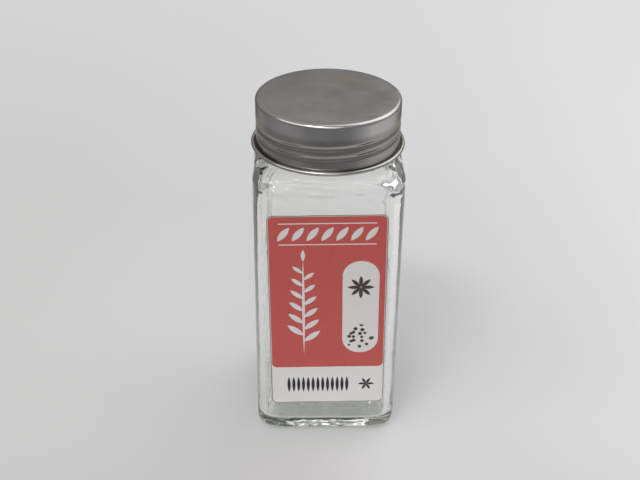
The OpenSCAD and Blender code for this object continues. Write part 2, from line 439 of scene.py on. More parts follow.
def moulded_face(x, y, z):
    """A point of the outer face, in mm: knurled under the foot and lumpy at the heel, never outside the mould."""
    low = 1 - smooth_step(2.5, 6.0, z)
    lumps = 0.5 + 0.5 * noise.noise(Vector((x / 2.4, y / 2.4, z / 1.6)))
    under = (1 - smooth_step(0.0, 0.3, z)) * max(0.0, noise.noise(Vector((x / 1.3, y / 1.3, 9))))
    return *moved_in(x, y, HEEL_ERROR * low * lumps * smooth_step(0.0, 0.5, z)), z + KNURL * under


def as_points(rings, change=None):
    shaped = []
    for ring, z in rings:
        row = []
        for x, y in ring:
            row.append(Vector(change(x, y, z) if change else (x, y, z)) * MM)
        shaped.append(row)
    return shaped


glass_rows = as_points(inside, blown_face) + as_points(lip) + as_points(outside, moulded_face)
print("thinnest and thickest error in mm:", -WALL_ERROR, WALL_ERROR)

# %% One closed skin


def closed_skin(name, rows, first_pole, last_pole):
    """A smooth mesh through rows of points, closed by a single point at each end."""
    n = len(rows[0])
    points = [first_pole] + [p for row in rows for p in row] + [last_pole]
    faces = [(0, 1 + (i + 1) % n, 1 + i) for i in range(n)]
    for k in range(len(rows) - 1):
        a, b = 1 + k * n, 1 + (k + 1) * n
        faces += [(a + i, a + (i + 1) % n, b + (i + 1) % n, b + i) for i in range(n)]
    end = 1 + (len(rows) - 1) * n
    faces += [(end + i, end + (i + 1) % n, len(points) - 1) for i in range(n)]
    mesh = bpy.data.meshes.new(name)
    mesh.from_pydata(points, [], faces)
    work = bmesh.new()
    work.from_mesh(mesh)
    bmesh.ops.recalc_face_normals(work, faces=work.faces)
    work.to_mesh(mesh)
    work.free()
    mesh.shade_smooth()
    piece = bpy.data.objects.new(name, mesh)
    scene.collection.objects.link(piece)
    return piece


jar_glass = closed_skin("jar_glass", glass_rows, Vector((0, 0, (FLOOR + FLOOR_DOME) * MM)), Vector((0, 0, HOLLOW * MM)))
print("glass faces:", len(jar_glass.data.polygons))

# %% [markdown]
# ## A thread for glass and steel
#
# The same screw line runs round the glass neck, where it stands out, and round the steel cap, where rollers
# press it in. A thread is a rule and not a drawing: each point knows its own angle and height, and from those
# two numbers follows how far it lies from the screw line. That makes it a natural job for Geometry Nodes. The
# tree below moves points inwards or outwards and has named inputs for everything a thread is known by.

# %% Thread tree
thread = bpy.data.node_groups.new("rolled thread", "GeometryNodeTree")
thread.interface.new_socket("Geometry", in_out="INPUT", socket_type="NodeSocketGeometry")
for label, default in (
    ("Start Angle", 0.0),
    ("Start Height", 0.1),
    ("Pitch", 0.003),
    ("Turns", 1.5),
    ("Half Width", 0.001),
    ("Depth", 0.0009),
    ("Run Out", 0.07),
    ("Only Outside Radius", 0.01),
):
    thread.interface.new_socket(label, in_out="INPUT", socket_type=NUMBER).default_value = default
thread.interface.new_socket("Finish", in_out="INPUT", socket_type="NodeSocketMaterial")
thread.interface.new_socket("Geometry", in_out="OUTPUT", socket_type="NodeSocketGeometry")
given = thread.nodes.new("NodeGroupInput").outputs

place = thread.nodes.new("ShaderNodeSeparateXYZ")
link(thread, thread.nodes.new("GeometryNodeInputPosition").outputs[0], place.inputs[0])
x, y, z = place.outputs
angle = math_node(thread, "ARCTAN2", y, x)
radius = math_node(thread, "SQRT", math_node(thread, "ADD", math_node(thread, "MULTIPLY", x, x), math_node(thread, "MULTIPLY", y, y)))
part_turn = math_node(thread, "FRACT", math_node(thread, "DIVIDE", math_node(thread, "SUBTRACT", angle, given["Start Angle"]), math.tau))
climbed = math_node(thread, "DIVIDE", math_node(thread, "SUBTRACT", z, given["Start Height"]), given["Pitch"])
above = math_node(thread, "SUBTRACT", climbed, part_turn)
whole_turn = math_node(thread, "ROUND", above)
turned = math_node(thread, "ADD", whole_turn, part_turn)
miss = math_node(thread, "MULTIPLY", math_node(thread, "ABSOLUTE", math_node(thread, "SUBTRACT", above, whole_turn)), given["Pitch"])
off = math_node(thread, "MINIMUM", math_node(thread, "DIVIDE", miss, given["Half Width"]), 1.0)
swell = math_node(thread, "MULTIPLY", math_node(thread, "ADD", math_node(thread, "COSINE", math_node(thread, "MULTIPLY", off, math.pi)), 1.0), 0.5)


def eased(value):
    node = thread.nodes.new("ShaderNodeMapRange")
    node.interpolation_type = "SMOOTHSTEP"
    link(thread, value, node.inputs["Value"])
    link(thread, given["Run Out"], node.inputs["From Max"])
    return node.outputs["Result"]


ends = math_node(thread, "MULTIPLY", eased(turned), eased(math_node(thread, "SUBTRACT", given["Turns"], turned)))
outer = math_node(thread, "GREATER_THAN", radius, given["Only Outside Radius"])
inward = math_node(thread, "MULTIPLY", math_node(thread, "MULTIPLY", swell, ends), math_node(thread, "MULTIPLY", outer, given["Depth"]))
share = math_node(thread, "DIVIDE", math_node(thread, "MULTIPLY", inward, -1.0), math_node(thread, "MAXIMUM", radius, 1e-6))
shift = thread.nodes.new("ShaderNodeCombineXYZ")
link(thread, math_node(thread, "MULTIPLY", x, share), shift.inputs[0])
link(thread, math_node(thread, "MULTIPLY", y, share), shift.inputs[1])

moved = thread.nodes.new("GeometryNodeSetPosition")
link(thread, given["Geometry"], moved.inputs["Geometry"])
link(thread, shift.outputs[0], moved.inputs["Offset"])
real = thread.nodes.new("GeometryNodeRealizeInstances")
link(thread, moved.outputs[0], real.inputs[0])
coated = thread.nodes.new("GeometryNodeSetMaterial")
link(thread, real.outputs[0], coated.inputs["Geometry"])
link(thread, given["Finish"], coated.inputs["Material"])
link(thread, coated.outputs[0], thread.nodes.new("NodeGroupOutput").inputs[0])
print("thread tree nodes:", len(thread.nodes))


def shape_with(piece, tree, **sizes):
    """Runs a Geometry Nodes tree on a piece and keeps the result as its plain mesh."""
    modifier = piece.modifiers.new(tree.name, "NODES")
    modifier.node_group = tree
    sockets = {item.name: item.identifier for item in tree.interface.items_tree if item.in_out == "INPUT"}
    for key, value in sizes.items():
        modifier[sockets[key.replace("_", " ")]] = value
    graph = bpy.context.evaluated_depsgraph_get()
    mesh = bpy.data.meshes.new_from_object(piece.evaluated_get(graph), depsgraph=graph)
    piece.modifiers.remove(modifier)
    piece.data = mesh
    mesh.name = piece.name
    return piece


# %% [markdown]
# ### Clear glass
#
# A glass material needs little: full transmission, the real index of 1.5 and almost no roughness. Two things
# keep it from looking like a computer's glass. A faint green body colour shows only where light travels far
# through it, in the thick base, and is given as absorption in the volume. A very soft bump lets reflections
# waver as they do on a moulded face.

# %% Glass material
clear_glass, tree, glass = new_material("clear_glass")
glass.inputs["Base Color"].default_value = (1, 1, 1, 1)
glass.inputs["Transmission Weight"].default_value = 1.0
glass.inputs["IOR"].default_value = 1.5
spot = object_place(tree)
link(tree, place_group(tree, drift_group, Place=spot, Patches_per_Metre=90.0, Lowest=0.0, Highest=0.02), glass.inputs["Roughness"])
ripple = place_group(tree, drift_group, Place=spot, Patches_per_Metre=110.0, Lowest=0.0, Highest=1.0)
over = raise_by(tree, glass, ripple, 0.00006)
for middle, far, near, per_metre, depth in ((0.0, 6.0, 2.5, (420, 420, 330), 0.36), (90.5, 6.0, 2.0, (210, 210, 480), 0.62)):
    zone = tree.nodes.new("ShaderNodeMapRange")
    from_zone = math_node(tree, "ABSOLUTE", math_node(tree, "SUBTRACT", split(tree, spot)[2], middle * MM))
    link(tree, from_zone, zone.inputs["Value"])
    zone.inputs["From Min"].default_value = far * MM
    zone.inputs["From Max"].default_value = near * MM
    spread_out = tree.nodes.new("ShaderNodeVectorMath")
    spread_out.operation = "MULTIPLY"
    link(tree, spot, spread_out.inputs[0])
    spread_out.inputs[1].default_value = per_metre
    lumps = tree.nodes.new("ShaderNodeTexNoise")
    lumps.inputs["Scale"].default_value = 1.0
    lumps.inputs["Detail"].default_value = 0.0
    link(tree, spread_out.outputs[0], lumps.inputs["Vector"])
    relief = math_node(tree, "MULTIPLY", zone.outputs["Result"], lumps.outputs["Fac"])
    over = raise_by(tree, glass, relief, depth * MM, 1.0, over)
seen = tree.nodes.new("ShaderNodeLightPath")
lets_through = tree.nodes.new("ShaderNodeBsdfTransparent")
rim_on = tree.nodes.new("ShaderNodeLayerWeight")
rim_on.inputs["Blend"].default_value = 0.45
dimmed = tree.nodes.new("ShaderNodeMix")
dimmed.data_type = "RGBA"
link(tree, rim_on.outputs["Facing"], dimmed.inputs["Factor"])
dimmed.inputs[6].default_value = (0.96, 0.97, 0.96, 1)
dimmed.inputs[7].default_value = (0.55, 0.57, 0.56, 1)
shadowed = tree.nodes.new("ShaderNodeMixShader")
only_light = math_node(tree, "MAXIMUM", seen.outputs["Is Shadow Ray"], seen.outputs["Is Diffuse Ray"])
trapped = math_node(tree, "GREATER_THAN", seen.outputs["Glossy Depth"], 2.5)
let_out = tree.nodes.new("ShaderNodeMix")
let_out.data_type = "RGBA"
link(tree, trapped, let_out.inputs["Factor"])
link(tree, dimmed.outputs[2], let_out.inputs[6])
# Painted shade: light caught inside the glass after a few reflections is let straight through, dimmed by a fixed tone
# that gets darker higher up the jar, in place of the dark outlines the thick glass would show.
higher_up = tree.nodes.new("ShaderNodeMapRange")
link(tree, split(tree, spot)[2], higher_up.inputs["Value"])
higher_up.inputs["From Min"].default_value = 12.0 * MM
higher_up.inputs["From Max"].default_value = 80.0 * MM
painted_trapped_shade = tree.nodes.new("ShaderNodeMix")
painted_trapped_shade.data_type = "RGBA"
link(tree, higher_up.outputs["Result"], painted_trapped_shade.inputs["Factor"])
painted_trapped_shade.inputs[6].default_value = (0.55, 0.555, 0.535, 1)
painted_trapped_shade.inputs[7].default_value = (0.185, 0.187, 0.182, 1)
link(tree, painted_trapped_shade.outputs[2], let_out.inputs[7])
link(tree, let_out.outputs[2], lets_through.inputs["Color"])
link(tree, math_node(tree, "MAXIMUM", only_light, trapped), shadowed.inputs[0])
link(tree, glass.outputs[0], shadowed.inputs[1])
link(tree, lets_through.outputs[0], shadowed.inputs[2])
link(tree, shadowed.outputs[0], tree.nodes["Material Output"].inputs["Surface"])
tint = tree.nodes.new("ShaderNodeVolumeAbsorption")
tint.inputs["Color"].default_value = (0.86, 0.92, 0.76, 1)
tint.inputs["Density"].default_value = 14.0
link(tree, tint.outputs[0], tree.nodes["Material Output"].inputs["Volume"])

shape_with(
    jar_glass, thread,
    Start_Angle=math.radians(THREAD_START[0]), Start_Height=THREAD_START[1] * MM, Pitch=PITCH * MM, Turns=THREAD_TURNS,
    Half_Width=THREAD_HALF * MM, Depth=-THREAD_RISE * MM, Only_Outside_Radius=19.0 * MM, Finish=clear_glass,
)
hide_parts("glass_jar")
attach(jar_glass, "jar")
print("glass done")

# %% [markdown]
# ## The steel cap
#
# The cap is drawn from one disc of thin stainless sheet: a flat top, a rounded edge, a plain band, the rolled
# thread and, at the open end, a curl that hides the cut edge. We draw the section of the sheet once, inside and
# outside, and turn it round the axis. The rows in the skirt are close together, so that the thread tree can
# press clean grooves into both faces of the sheet at once.

# %% Section of the cap, in millimetres
cap_low, cap_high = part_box("screw_cap")
CAP_TOP = cap_high.z / MM
CAP_BOTTOM = cap_low.z / MM
SHEET = 0.4
SKIRT = 21.9
EDGE = 1.0
CURL = 0.6
CURL_AT = (22.75, CAP_BOTTOM + CURL)
GROOVES = (97.3, 105.9)
CAP_SEGMENTS = 288


def arc(middle, radius, start, end, count):
    """Points (r, z) on a circle in the section, with angles in degrees."""
    return [
        (middle[0] + radius * math.cos(math.radians(a)), middle[1] + radius * math.sin(math.radians(a)))
        for a in steps(start, end, count)
    ]


edge_middle = (SKIRT - EDGE, CAP_TOP - EDGE)
section = [(r, CAP_TOP - SHEET) for r in (2, 8, 14, 18.5)]
section += arc(edge_middle, EDGE - SHEET, 90, 0, 8)
section += [(SKIRT - SHEET, z) for z in steps(CAP_TOP - EDGE - 0.6, GROOVES[1] + 0.3, 5)]
section += [(SKIRT - SHEET, z) for z in steps(GROOVES[1], GROOVES[0], 58)]
section += [(SKIRT - SHEET, CAP_BOTTOM + z) for z in (1.0, 0.5, 0.25)]
section += arc(CURL_AT, CURL, 235, 530, 26)
section += [(SKIRT + 0.06, CAP_BOTTOM + 0.52), (SKIRT, CAP_BOTTOM + 0.60), (SKIRT, CAP_BOTTOM + 1.0)]
section += [(SKIRT, z) for z in steps(GROOVES[0], GROOVES[1], 58)]
section += [(SKIRT, z) for z in steps(GROOVES[1] + 0.3, CAP_TOP - EDGE - 0.4, 5)]
section += arc(edge_middle, EDGE, 0, 90, 12)
section += [(r, CAP_TOP) for r in (20, 18.5, 14, 8, 2)]

cap_rows = []
for r, z in section:
    angles = [math.tau * i / CAP_SEGMENTS for i in range(CAP_SEGMENTS)]
    cap_rows.append([Vector((r * math.cos(a), r * math.sin(a), z)) * MM for a in angles])
steel_cap = closed_skin("steel_cap", cap_rows, Vector((0, 0, (CAP_TOP - SHEET) * MM)), Vector((0, 0, CAP_TOP * MM)))
print("cap faces:", len(steel_cap.data.polygons))

# %% [markdown]
# ### Dull steel
#
# The sheet is rolled stainless steel: a satin grey with a fine straight grain over the top, and fine lines
# round the side where the forming tools turned. A few hairline scratches and slow changes of gloss come from
# handling.

# %% Steel material
dull_steel, tree, steel = new_material("dull_steel")
steel.inputs["Metallic"].default_value = 1.0
spot = object_place(tree)
tone = place_group(tree, drift_group, Place=spot, Patches_per_Metre=70.0, Lowest=0.0, Highest=1.0)
shade = tree.nodes.new("ShaderNodeMix")
shade.data_type = "RGBA"
link(tree, tone, shade.inputs["Factor"])
shade.inputs[6].default_value = (0.535, 0.524, 0.509, 1)
shade.inputs[7].default_value = (0.620, 0.610, 0.602, 1)
stain_at = tree.nodes.new("ShaderNodeVectorMath")
stain_at.operation = "DISTANCE"
link(tree, spot, stain_at.inputs[0])
stain_at.inputs[1].default_value = Vector((6.0, 11.0, CAP_TOP)) * MM
stain_reach = tree.nodes.new("ShaderNodeMapRange")
link(tree, stain_at.outputs["Value"], stain_reach.inputs["Value"])
stain_reach.inputs["From Min"].default_value = 11.0 * MM
stain_reach.inputs["From Max"].default_value = 3.0 * MM
blotches = place_group(tree, drift_group, Place=spot, Patches_per_Metre=230.0, Lowest=0.1, Highest=0.7)
stained = tree.nodes.new("ShaderNodeMix")
stained.data_type = "RGBA"
link(tree, math_node(tree, "MULTIPLY", stain_reach.outputs["Result"], blotches), stained.inputs["Factor"])
link(tree, shade.outputs[2], stained.inputs[6])
stained.inputs[7].default_value = (0.57, 0.50, 0.41, 1)
# Painted shade: the rolled thread zone and the recess above the curl, but not the curl itself, get a darker base
# colour. The same zone also gets its own specular tint.
skirt = tree.nodes.new("ShaderNodeMapRange")
link(tree, split(tree, spot)[2], skirt.inputs["Value"])
skirt.inputs["From Min"].default_value = 106.6 * MM
skirt.inputs["From Max"].default_value = 105.2 * MM
skirt.inputs["To Max"].default_value = 0.75
steel_x, steel_y, _ = split(tree, spot)
from_axis = math_node(tree, "SQRT", math_node(
    tree, "ADD", math_node(tree, "MULTIPLY", steel_x, steel_x), math_node(tree, "MULTIPLY", steel_y, steel_y)
))
inside_curl = tree.nodes.new("ShaderNodeMapRange")
link(tree, from_axis, inside_curl.inputs["Value"])
inside_curl.inputs["From Min"].default_value = 22.6 * MM
inside_curl.inputs["From Max"].default_value = 22.2 * MM
shaded_thread_zone = math_node(tree, "MULTIPLY", skirt.outputs["Result"], inside_curl.outputs["Result"])
painted_skirt_shade = tree.nodes.new("ShaderNodeMix")
painted_skirt_shade.data_type = "RGBA"
link(tree, shaded_thread_zone, painted_skirt_shade.inputs["Factor"])
link(tree, stained.outputs[2], painted_skirt_shade.inputs[6])
painted_skirt_shade.inputs[7].default_value = (0.335, 0.325, 0.312, 1)
link(tree, painted_skirt_shade.outputs[2], steel.inputs["Base Color"])
edge_tint = tree.nodes.new("ShaderNodeMix")
edge_tint.data_type = "RGBA"
link(tree, shaded_thread_zone, edge_tint.inputs["Factor"])
edge_tint.inputs[6].default_value = (0.22, 0.21, 0.205, 1)
edge_tint.inputs[7].default_value = (0.68, 0.61, 0.55, 1)
link(tree, edge_tint.outputs[2], steel.inputs["Specular Tint"])
link(tree, place_group(tree, drift_group, Place=spot, Patches_per_Metre=140.0, Lowest=0.15, Highest=0.26), steel.inputs["Roughness"])
grain = place_group(tree, marks_group, Place=spot, Marks_per_Metre=90.0, Thinness=0.25, Stretch=(0.6, 14.0, 14.0))
scratches = place_group(tree, marks_group, Place=spot, Marks_per_Metre=60.0, Thinness=0.006, Stretch=(1.0, 0.45, 3.0))
over = raise_by(tree, steel, grain, 0.000008, 0.5)
raise_by(tree, steel, math_node(tree, "SUBTRACT", 1.0, scratches), 0.00001, 0.6, over)

shape_with(
    steel_cap, thread,
    Start_Angle=math.radians(120), Start_Height=98.9 * MM, Pitch=PITCH * MM, Turns=1.8,
    Half_Width=1.15 * MM, Depth=0.30 * MM, Only_Outside_Radius=15.0 * MM, Finish=dull_steel,
)
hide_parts("screw_cap")
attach(steel_cap, "cap")
print("cap done")

# %% [markdown]
# ## The paper label
#
# A sticker of coated paper covers the front of the glass and just starts to go round the corners. It was stuck
# on by hand, a little out of true, and its edges have begun to lift. The mesh is a fine grid with rounded
# corners, laid flat first, then turned, bent round the glass and given its thickness.

# %% Label mesh
LABEL_HALF = 18.0
LABEL_RISE = 12.5
LABEL_TALL = 70.0
LABEL_ROUND = 1.8
LABEL_THICK = 0.15
LABEL_SUNK = 0.02
LABEL_TURN = math.radians(0.8)
LABEL_MIDDLE = LABEL_RISE + LABEL_TALL / 2
LABEL_LIFT = 0.22
SHOWS_THROUGH = 0.14


def row_half_width(up):
    beyond = abs(up) - (LABEL_TALL / 2 - LABEL_ROUND)
    if beyond <= 0:
        return LABEL_HALF
    return LABEL_HALF - LABEL_ROUND + math.sqrt(max(0.0, LABEL_ROUND ** 2 - beyond ** 2))


def lifted(across, up):
    """How far the paper has come away from the glass, in mm: only along its rim, in places."""
    rim = min(row_half_width(up) - abs(across), LABEL_TALL / 2 - abs(up))
    loose = 1 - smooth_step(0.0, 1.6, rim)
    place = 0.5 + 0.5 * noise.noise(Vector((across / 6, up / 6, 3)))
    return LABEL_LIFT * loose * smooth_step(0.35, 0.8, place)


def on_the_glass(across, up, off):
    """Bends a flat point of the label round the front of the jar, at a distance off the glass."""
    a = across * math.cos(LABEL_TURN) - up * math.sin(LABEL_TURN)
    b = across * math.sin(LABEL_TURN) + up * math.cos(LABEL_TURN)
    flat = HALF - CORNER
    if abs(a) <= flat:
        return Vector((a, -HALF - off, LABEL_MIDDLE + b)) * MM
    bend = (abs(a) - flat) / CORNER
    side = math.copysign(flat + (CORNER + off) * math.sin(bend), a)
    return Vector((side, -flat - (CORNER + off) * math.cos(bend), LABEL_MIDDLE + b)) * MM


corner_rows = [LABEL_TALL / 2 - LABEL_ROUND * (1 - math.sin(a)) for a in steps(0, math.pi / 2 * 0.97, 8)]
rows_up = [-u for u in reversed(corner_rows)] + steps(-LABEL_TALL / 2 + LABEL_ROUND, LABEL_TALL / 2 - LABEL_ROUND, 100)[1:-1] + corner_rows
COLUMNS = 72
columns = [math.sin(t) for t in steps(-math.pi / 2, math.pi / 2, COLUMNS)]
columns = [0.55 * k / ((COLUMNS - 1) / 2) - 0.55 + 0.45 * c for k, c in enumerate(columns)]

label_points, label_uv, label_faces = [], [], []
for off in (LABEL_THICK - LABEL_SUNK, -LABEL_SUNK):
    for up in rows_up:
        for share in columns:
            across = share * row_half_width(up)
            label_points.append(on_the_glass(across, up, off + lifted(across, up)))
            label_uv.append((across / (2 * LABEL_HALF) + 0.5, up / LABEL_TALL + 0.5))
R = len(rows_up)
back = R * COLUMNS
for j in range(R - 1):
    for i in range(COLUMNS - 1):
        a = j * COLUMNS + i
        quad = (a, a + 1, a + 1 + COLUMNS, a + COLUMNS)
        label_faces.append(quad)
        label_faces.append(tuple(back + k for k in reversed(quad)))
rim = [i for i in range(COLUMNS)] + [j * COLUMNS + COLUMNS - 1 for j in range(1, R)]
rim += [(R - 1) * COLUMNS + i for i in range(COLUMNS - 2, -1, -1)] + [j * COLUMNS for j in range(R - 2, 0, -1)]
for k, a in enumerate(rim):
    b = rim[(k + 1) % len(rim)]
    label_faces.append((a, back + a, back + b, b))

mesh = bpy.data.meshes.new("paper_label")
mesh.from_pydata(label_points, [], label_faces)
layer = mesh.uv_layers.new(name="sheet")
for loop in mesh.loops:
    layer.data[loop.index].uv = label_uv[loop.vertex_index]
printed = mesh.attributes.new("printed", "FLOAT", "POINT")
for k, point in enumerate(printed.data):
    point.value = 1.0 if k < back else SHOWS_THROUGH
paper_label = bpy.data.objects.new("paper_label", mesh)
scene.collection.objects.link(paper_label)
mesh.shade_smooth()
mesh.set_sharp_from_angle(angle=math.radians(40))
print("label faces:", len(mesh.polygons))

# %% [markdown]
# ### The print
#
# The print is drawn by the shader from the label's own flat coordinates, in millimetres, so its edges stay
# crisp at any distance. Two node groups draw all of it: a box with round corners, and a leaf, which is the
# space where two circles overlap. Each gives a mask, and the masks are laid over each other like inks.

# %% Print groups
box_group, given, result = group_with(
    "printed box",
    [("Sheet", VECTOR, None), ("Middle", VECTOR, None), ("Half Size", VECTOR, None), ("Corner", NUMBER, 1.0)],
    [("Mask", NUMBER)],
)
INK_EDGE = 0.05


def from_middle(tree, sheet, middle):
    node = tree.nodes.new("ShaderNodeVectorMath")
    node.operation = "SUBTRACT"
    link(tree, sheet, node.inputs[0])
    link(tree, middle, node.inputs[1])
    return node.outputs[0]


def inked(tree, distance):
    """1 inside a shape and 0 outside, with a fine soft edge, from its signed distance in mm."""
    return math_node(tree, "SUBTRACT", 0.5, math_node(tree, "DIVIDE", distance, 2 * INK_EDGE), clamp=True)


px, py, _ = split(box_group, from_middle(box_group, given.outputs["Sheet"], given.outputs["Middle"]))
hx, hy, _ = split(box_group, given.outputs["Half Size"])
corner = given.outputs["Corner"]
reach = []
for p, h in ((px, hx), (py, hy)):
    reach.append(math_node(box_group, "ADD", math_node(box_group, "SUBTRACT", math_node(box_group, "ABSOLUTE", p), h), corner))
out = [math_node(box_group, "MAXIMUM", q, 0.0) for q in reach]
far = math_node(box_group, "SQRT", math_node(box_group, "ADD", math_node(box_group, "POWER", out[0], 2.0), math_node(box_group, "POWER", out[1], 2.0)))
near = math_node(box_group, "MINIMUM", math_node(box_group, "MAXIMUM", reach[0], reach[1]), 0.0)
link(box_group, inked(box_group, math_node(box_group, "SUBTRACT", math_node(box_group, "ADD", far, near), corner)), result.inputs["Mask"])

leaf_group, given, result = group_with(
    "printed leaf",
    [("Sheet", VECTOR, None), ("Middle", VECTOR, None), ("Half Length", NUMBER, 2.0), ("Half Width", NUMBER, 0.7), ("Turn", NUMBER, 0.0)],
    [("Mask", NUMBER)],
)
turned_sheet = leaf_group.nodes.new("ShaderNodeVectorRotate")
turned_sheet.rotation_type = "Z_AXIS"
link(leaf_group, from_middle(leaf_group, given.outputs["Sheet"], given.outputs["Middle"]), turned_sheet.inputs["Vector"])
link(leaf_group, given.outputs["Turn"], turned_sheet.inputs["Angle"])
along, beside, _ = split(leaf_group, turned_sheet.outputs[0])
length2 = math_node(leaf_group, "POWER", given.outputs["Half Length"], 2.0)
width2 = math_node(leaf_group, "POWER", given.outputs["Half Width"], 2.0)
bow = math_node(leaf_group, "DIVIDE", math_node(leaf_group, "ADD", length2, width2), math_node(leaf_group, "MULTIPLY", given.outputs["Half Width"], 2.0))
sideways = math_node(leaf_group, "ADD", math_node(leaf_group, "ABSOLUTE", beside), math_node(leaf_group, "SUBTRACT", bow, given.outputs["Half Width"]))
from_bow = math_node(leaf_group, "SQRT", math_node(leaf_group, "ADD", math_node(leaf_group, "POWER", along, 2.0), math_node(leaf_group, "POWER", sideways, 2.0)))
link(leaf_group, inked(leaf_group, math_node(leaf_group, "SUBTRACT", from_bow, bow)), result.inputs["Mask"])
print("groups ready:", box_group.name, leaf_group.name)

# %% Label material
RED = (0.71, 0.108, 0.090, 1)
WHITE = (0.985, 0.965, 0.955, 1)
DARK = (0.035, 0.033, 0.035, 1)

label_paper, tree, paper = new_material("label_paper")
flat = tree.nodes.new("ShaderNodeUVMap")
flat.uv_map = "sheet"
centred = tree.nodes.new("ShaderNodeVectorMath")
centred.operation = "SUBTRACT"
link(tree, flat.outputs[0], centred.inputs[0])
centred.inputs[1].default_value = (0.5, 0.5, 0)
in_mm = tree.nodes.new("ShaderNodeVectorMath")
in_mm.operation = "MULTIPLY"
link(tree, centred.outputs[0], in_mm.inputs[0])
in_mm.inputs[1].default_value = (2 * LABEL_HALF, LABEL_TALL, 0)
sheet = in_mm.outputs[0]
sheet_x, sheet_y, _ = split(tree, sheet)


def repeated(period_x, period_y, mirror=False):
    """The sheet folded into equal cells, each with its middle at the origin."""
    a = sheet_x if not mirror else math_node(tree, "ABSOLUTE", sheet_x)
    combine = tree.nodes.new("ShaderNodeCombineXYZ")
    for slot, value, period in ((combine.inputs[0], a, period_x), (combine.inputs[1], sheet_y, period_y)):
        if period:
            value = math_node(tree, "SUBTRACT", math_node(tree, "MULTIPLY", math_node(tree, "FRACT", math_node(tree, "ADD", math_node(tree, "DIVIDE", value, period), 0.5)), period), period / 2)
        link(tree, value, slot)
    return combine.outputs[0]


def box(middle, half, corner_size, on=None):
    return place_group(tree, box_group, Sheet=on or sheet, Middle=(*middle, 0), Half_Size=(*half, 0), Corner=corner_size)


def leaf(middle, half_length, half_width, turn, on=None):
    return place_group(tree, leaf_group, Sheet=on or sheet, Middle=(*middle, 0), Half_Length=half_length, Half_Width=half_width, Turn=math.radians(turn))


def either(*masks):
    total = masks[0]
    for mask_ in masks[1:]:
        total = math_node(tree, "MAXIMUM", total, mask_)
    return total


def both(a, b):
    return math_node(tree, "MULTIPLY", a, b)


red_field = box((0, 7.0), (17.6, 27.6), 1.5)
window = box((10.2, 2.0), (5.6, 17.0), 5.4)
header_cells = repeated(4.4, None)
header_band = box((0, 28.6), (15.4, 3.2), 0.2)
rope = both(leaf((0, 28.6), 2.95, 1.0, -52, header_cells), header_band)
thin_lines = either(box((0, 32.2), (14.6, 0.18), 0.05), box((0, 25.0), (14.6, 0.18), 0.05))
sprig = [leaf((-7.4, 2.2), 17.5, 0.42, 90)]
for k in range(6):
    up = -10.5 + 4.6 * k
    size = 3.2 - 0.22 * k
    sprig.append(leaf((-7.4 + 0.80 * size, up + 0.62 * size), size, 0.30 * size, -38))
    sprig.append(leaf((-7.4 - 0.80 * size, up + 2.3 + 0.62 * size), size, 0.30 * size, 38 + 180))
sprig.append(leaf((-7.4, 21.2), 2.0, 0.62, 90))
white_print = either(rope, thin_lines, *sprig)

corns = tree.nodes.new("ShaderNodeTexVoronoi")
corns.inputs["Scale"].default_value = 0.62
corns.inputs["Randomness"].default_value = 0.75
link(tree, sheet, corns.inputs["Vector"])
corn_spots = math_node(tree, "SUBTRACT", 0.5, math_node(tree, "DIVIDE", math_node(tree, "SUBTRACT", corns.outputs["Distance"], 0.40), 0.09), clamp=True)
heap = either(box((10.2, -10.2), (4.4, 3.6), 3.3), box((10.2, -7.2), (2.4, 3.0), 2.2))
peppercorns = both(corn_spots, heap)
star_leaves = either(*[leaf((10.2 + 2.1 * math.cos(a), 9.6 + 2.1 * math.sin(a)), 2.0, 0.62, -math.degrees(a)) for a in [math.tau * k / 8 for k in range(8)]])
seed_cells = repeated(1.55, None)
seed_row = both(leaf((0, -27.6), 3.1, 0.52, 90, seed_cells), box((-3.2, -27.6), (10.1, 3.6), 0.1))
small_flower = either(*[leaf((12.4 + 1.3 * math.cos(a), -27.6 + 1.3 * math.sin(a)), 1.3, 0.42, -math.degrees(a)) for a in [math.tau * k / 6 for k in range(6)]])
dark_print = either(peppercorns, star_leaves, seed_row, small_flower)


def ink(under, colour, mask_):
    node = tree.nodes.new("ShaderNodeMix")
    node.data_type = "RGBA"
    link(tree, mask_, node.inputs["Factor"])
    if isinstance(under, tuple):
        node.inputs[6].default_value = under
    else:
        link(tree, under, node.inputs[6])
    node.inputs[7].default_value = colour
    return node.outputs[2]


colour = ink(WHITE, RED, red_field)
colour = ink(colour, WHITE, window)
colour = ink(colour, WHITE, white_print)
colour = ink(colour, DARK, dark_print)
# Painted shadow: a thin dark line along the label's rim, where its lifted edge would shade the glass.
inner_sheet = box((0, 0), (LABEL_HALF - 0.28, LABEL_TALL / 2 - 0.28), LABEL_ROUND - 0.28)
painted_edge_shadow = math_node(tree, "MULTIPLY", math_node(tree, "SUBTRACT", 1.0, inner_sheet), 0.75)
colour = ink(colour, (0.10, 0.06, 0.055, 1), painted_edge_shadow)
face_side = tree.nodes.new("ShaderNodeAttribute")
face_side.attribute_name = "printed"
unprinted = math_node(tree, "SUBTRACT", 1.0, face_side.outputs["Fac"])
colour = ink(colour, (0.80, 0.79, 0.76, 1), unprinted)
spot = object_place(tree)
fibre = place_group(tree, drift_group, Place=spot, Patches_per_Metre=2600.0, Lowest=0.0, Highest=1.0)
faded = both(both(math_node(tree, "MULTIPLY", fibre, 0.16), red_field), face_side.outputs["Fac"])
colour = ink(colour, (0.62, 0.40, 0.40, 1), faded)
link(tree, colour, paper.inputs["Base Color"])
link(tree, place_group(tree, drift_group, Place=spot, Patches_per_Metre=150.0, Lowest=0.42, Highest=0.58), paper.inputs["Roughness"])
paper.inputs["Specular IOR Level"].default_value = 0.35
over = raise_by(tree, paper, fibre, 0.00001, 0.5)
ripple = place_group(tree, drift_group, Place=spot, Patches_per_Metre=140.0, Lowest=0.0, Highest=1.0)
raise_by(tree, paper, ripple, 0.00006, 0.6, over)

